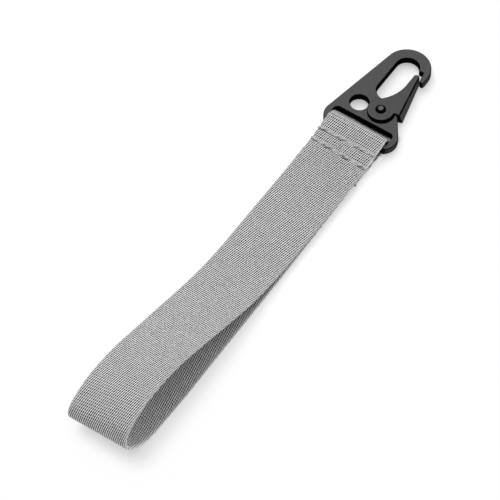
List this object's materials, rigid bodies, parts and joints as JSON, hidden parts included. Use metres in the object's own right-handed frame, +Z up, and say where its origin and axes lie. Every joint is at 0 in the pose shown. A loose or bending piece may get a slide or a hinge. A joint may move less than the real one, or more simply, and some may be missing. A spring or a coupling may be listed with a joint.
{
  "type": "belt key clip",
  "caption": "Hand loop of flat grey webbing, sewn round the slot bar of a flat black snap hook whose sprung gate opens inwards to take a key ring.",
  "frame": {"origin": "on the table under the middle of the whole clip", "axes": "+X along the strap towards the hook's tip, +Y across the strap away from the gate, +Z up from the table"},
  "size_m": [0.2106, 0.0312, 0.0256],
  "materials": {
    "black_casting": "satin black coating on a die casting",
    "black_sheet": "satin black coating on folded sheet",
    "black_rivet": "satin black",
    "spring_steel": "drawn wire",
    "grey_webbing": "plain-woven webbing",
    "grey_thread": "twisted sewing thread"
  },
  "bodies": {
    "strap": {"webbing_strap": "grey_webbing", "upper_row_needle_thread": "grey_thread", "upper_row_bobbin_thread": "grey_thread", "lower_row_needle_thread": "grey_thread", "lower_row_bobbin_thread": "grey_thread"},
    "hook": {"hook_plate": "black_casting", "gate_spring": "spring_steel"},
    "gate": {"gate": "black_sheet", "pivot_rivet": "black_rivet"}
  },
  "joints": [
    {"name": "clip_swing", "type": "hinge", "parent": "strap", "child": "hook", "pos_m": [0.05967, 0, 0.0033], "axis": [0, -1, 0], "range_deg": [-120, 120]},
    {"name": "gate_hinge", "type": "hinge", "parent": "hook", "child": "gate", "pos_m": [0.07293, -0.0025, 0.0033], "axis": [0, 0, 1], "range_deg": [0, 26], "stiffness_Nm_per_rad": 0.08, "springref_deg": -34.38, "deforming": ["gate_spring"]}
  ]
}
